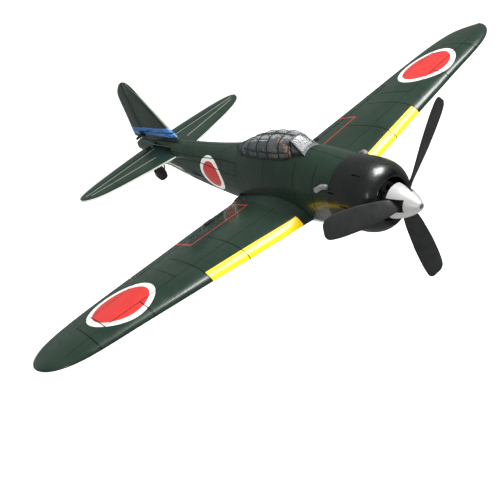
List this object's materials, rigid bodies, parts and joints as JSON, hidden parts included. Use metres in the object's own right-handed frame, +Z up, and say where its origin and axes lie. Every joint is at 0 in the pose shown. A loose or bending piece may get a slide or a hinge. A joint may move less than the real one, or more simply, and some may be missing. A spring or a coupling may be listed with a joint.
{
  "type": "rc warbird plane",
  "caption": "Ready-to-fly foam radio-controlled warbird plane with dark green foam wings, a black cowl, a geared propeller, hinged control surfaces and a steerable tail wheel.",
  "frame": {"origin": "flat rest patch under the belly fairing, on the centre plane", "axes": "+X to the aircraft left along the span, nose towards -Y, +Z up out of the canopy"},
  "size_m": [0.4, 0.3246, 0.112],
  "materials": {
    "green_foam": "semi-gloss dark green painted foam",
    "pale_foam": "satin pale grey painted foam",
    "cowl_black": "gloss black moulded plastic",
    "black_plastic": "satin black moulded plastic",
    "blade_plastic": "satin dark grey flexible plastic",
    "spinner_silver": "satin silver",
    "exhaust_grey": "satin grey moulded plastic",
    "steel": "bright drawn wire",
    "brass": "machined",
    "nylon_white": "moulded nylon",
    "servo_blue": "tinted moulded plastic case",
    "clear": "clear thermoformed sheet",
    "cockpit_dark": "matte dark plastic",
    "seat_tan": "matte brown",
    "pilot_paint": "matte painted figure",
    "plywood": "light plywood",
    "carbon": "pultruded carbon tube",
    "rubber": "soft black",
    "battery_wrap": "shrink wrap",
    "pcb": "printed circuit board"
  },
  "bodies": {
    "airframe": {"wing_right": "green_foam", "aileron_servo_right": "servo_blue", "fuselage_right": "green_foam", "exhaust_right": "exhaust_grey", "wing_left": "green_foam", "aileron_servo_left": "servo_blue", "fuselage_left": "green_foam", "exhaust_left": "exhaust_grey", "wing_spar": "carbon", "belly_fairing": "pale_foam", "fin": "green_foam", "stabiliser": "green_foam", "elevator_servo": "servo_blue", "rudder_servo": "servo_blue", "canopy_glass": "clear", "canopy_frame": "green_foam", "cockpit_tub": "cockpit_dark", "seat": "seat_tan", "pilot": "pilot_paint", "instrument_panel": "cockpit_dark", "cowl": "cowl_black", "firewall": "plywood", "gearbox_frame": "black_plastic", "motor": "steel", "bearing_front": "steel", "bearing_rear": "steel", "battery": "battery_wrap", "receiver_board": "pcb", "servo_tray": "plywood"},
    "hatch": {"battery_hatch": "pale_foam"},
    "prop": {"propeller": "blade_plastic", "spinner": "spinner_silver", "prop_nut": "steel", "prop_shaft": "steel", "spur_gear": "black_plastic"},
    "pinion": {"motor_pinion": "brass"},
    "aileron_right": {"aileron_right": "green_foam", "aileron_horn_right": "black_plastic"},
    "aileron_left": {"aileron_left": "green_foam", "aileron_horn_left": "black_plastic"},
    "aileron_arm_right": {"aileron_servo_arm_right": "nylon_white"},
    "aileron_arm_left": {"aileron_servo_arm_left": "nylon_white"},
    "aileron_rod_right": {"aileron_pushrod_right": "steel"},
    "aileron_rod_left": {"aileron_pushrod_left": "steel"},
    "elevator": {"elevator_right": "green_foam", "elevator_left": "green_foam", "elevator_joiner": "steel", "elevator_horn": "black_plastic"},
    "elevator_arm": {"elevator_servo_arm": "nylon_white"},
    "elevator_rod": {"elevator_pushrod": "steel"},
    "rudder": {"rudder": "green_foam", "rudder_horn": "black_plastic", "tail_wheel_leg": "steel"},
    "rudder_arm": {"rudder_servo_arm": "nylon_white"},
    "rudder_rod": {"rudder_pushrod": "steel"},
    "tail_wheel": {"tail_wheel_hub": "black_plastic", "tail_wheel_tyre": "rubber"}
  },
  "joints": [
    {"name": "hatch_hinge", "type": "hinge", "parent": "airframe", "child": "hatch", "pos_m": [0, -0.07015, 0.0064], "axis": [-1, 0, 0], "range_deg": [0, 95]},
    {"name": "prop_spin", "type": "hinge", "parent": "airframe", "child": "prop", "pos_m": [0, -0.112, 0.0298], "axis": [0, -1, 0], "continuous": true},
    {"name": "pinion_spin", "type": "hinge", "parent": "airframe", "child": "pinion", "pos_m": [0, -0.098, 0.0172], "axis": [0, -1, 0], "continuous": true},
    {"name": "aileron_right_hinge", "type": "hinge", "parent": "airframe", "child": "aileron_right", "pos_m": [-0.052, 0.01202, 0.01537], "axis": [0.9807, 0.1561, -0.118], "range_deg": [-20, 20]},
    {"name": "aileron_left_hinge", "type": "hinge", "parent": "airframe", "child": "aileron_left", "pos_m": [0.052, 0.01202, 0.01537], "axis": [0.9807, -0.1561, 0.118], "range_deg": [-20, 20]},
    {"name": "aileron_arm_right_pivot", "type": "hinge", "parent": "airframe", "child": "aileron_arm_right", "pos_m": [-0.0479, -0.01467, 0.01418], "axis": [0.9807, 0.1561, -0.118], "range_deg": [-20, 20]},
    {"name": "aileron_rod_right_pin", "type": "hinge", "parent": "aileron_arm_right", "child": "aileron_rod_right", "pos_m": [-0.04871, -0.0148, 0.00723], "axis": [0.9807, 0.1561, -0.118], "range_deg": [-20, 20]},
    {"name": "aileron_arm_left_pivot", "type": "hinge", "parent": "airframe", "child": "aileron_arm_left", "pos_m": [0.0479, -0.01467, 0.01418], "axis": [0.9807, -0.1561, 0.118], "range_deg": [-20, 20]},
    {"name": "aileron_rod_left_pin", "type": "hinge", "parent": "aileron_arm_left", "child": "aileron_rod_left", "pos_m": [0.04871, -0.0148, 0.00723], "axis": [0.9807, -0.1561, 0.118], "range_deg": [-20, 20]},
    {"name": "elevator_hinge", "type": "hinge", "parent": "airframe", "child": "elevator", "pos_m": [0, 0.1506, 0.0248], "axis": [1, 0, 0], "range_deg": [-20, 20]},
    {"name": "elevator_arm_pivot", "type": "hinge", "parent": "airframe", "child": "elevator_arm", "pos_m": [-0.0068, 0.056, 0.0185], "axis": [1, 0, 0], "range_deg": [-20, 20]},
    {"name": "elevator_rod_pin", "type": "hinge", "parent": "elevator_arm", "child": "elevator_rod", "pos_m": [-0.0068, 0.056, 0.0115], "axis": [1, 0, 0], "range_deg": [-20, 20]},
    {"name": "rudder_hinge", "type": "hinge", "parent": "airframe", "child": "rudder", "pos_m": [0, 0.1675, 0.038], "axis": [0, 0, 1], "range_deg": [-22, 22]},
    {"name": "rudder_arm_pivot", "type": "hinge", "parent": "airframe", "child": "rudder_arm", "pos_m": [0.0026, 0.038, 0.0236], "axis": [0, 0, 1], "range_deg": [-22, 22]},
    {"name": "rudder_rod_pin", "type": "hinge", "parent": "rudder_arm", "child": "rudder_rod", "pos_m": [-0.0044, 0.038, 0.0236], "axis": [0, 0, 1], "range_deg": [-22, 22]},
    {"name": "tail_wheel_spin", "type": "hinge", "parent": "rudder", "child": "tail_wheel", "pos_m": [0, 0.179, -0.0086], "axis": [1, 0, 0], "continuous": true}
  ],
  "couplings": [
    {"joint": "pinion_spin", "follows": "prop_spin", "ratio": -4},
    {"joint": "aileron_left_hinge", "follows": "aileron_right_hinge", "ratio": -1},
    {"joint": "aileron_arm_right_pivot", "follows": "aileron_right_hinge", "ratio": 1},
    {"joint": "aileron_rod_right_pin", "follows": "aileron_right_hinge", "ratio": -1},
    {"joint": "aileron_arm_left_pivot", "follows": "aileron_right_hinge", "ratio": -1},
    {"joint": "aileron_rod_left_pin", "follows": "aileron_right_hinge", "ratio": 1},
    {"joint": "elevator_arm_pivot", "follows": "elevator_hinge", "ratio": 1},
    {"joint": "elevator_rod_pin", "follows": "elevator_hinge", "ratio": -1},
    {"joint": "rudder_arm_pivot", "follows": "rudder_hinge", "ratio": 1},
    {"joint": "rudder_rod_pin", "follows": "rudder_hinge", "ratio": -1}
  ]
}
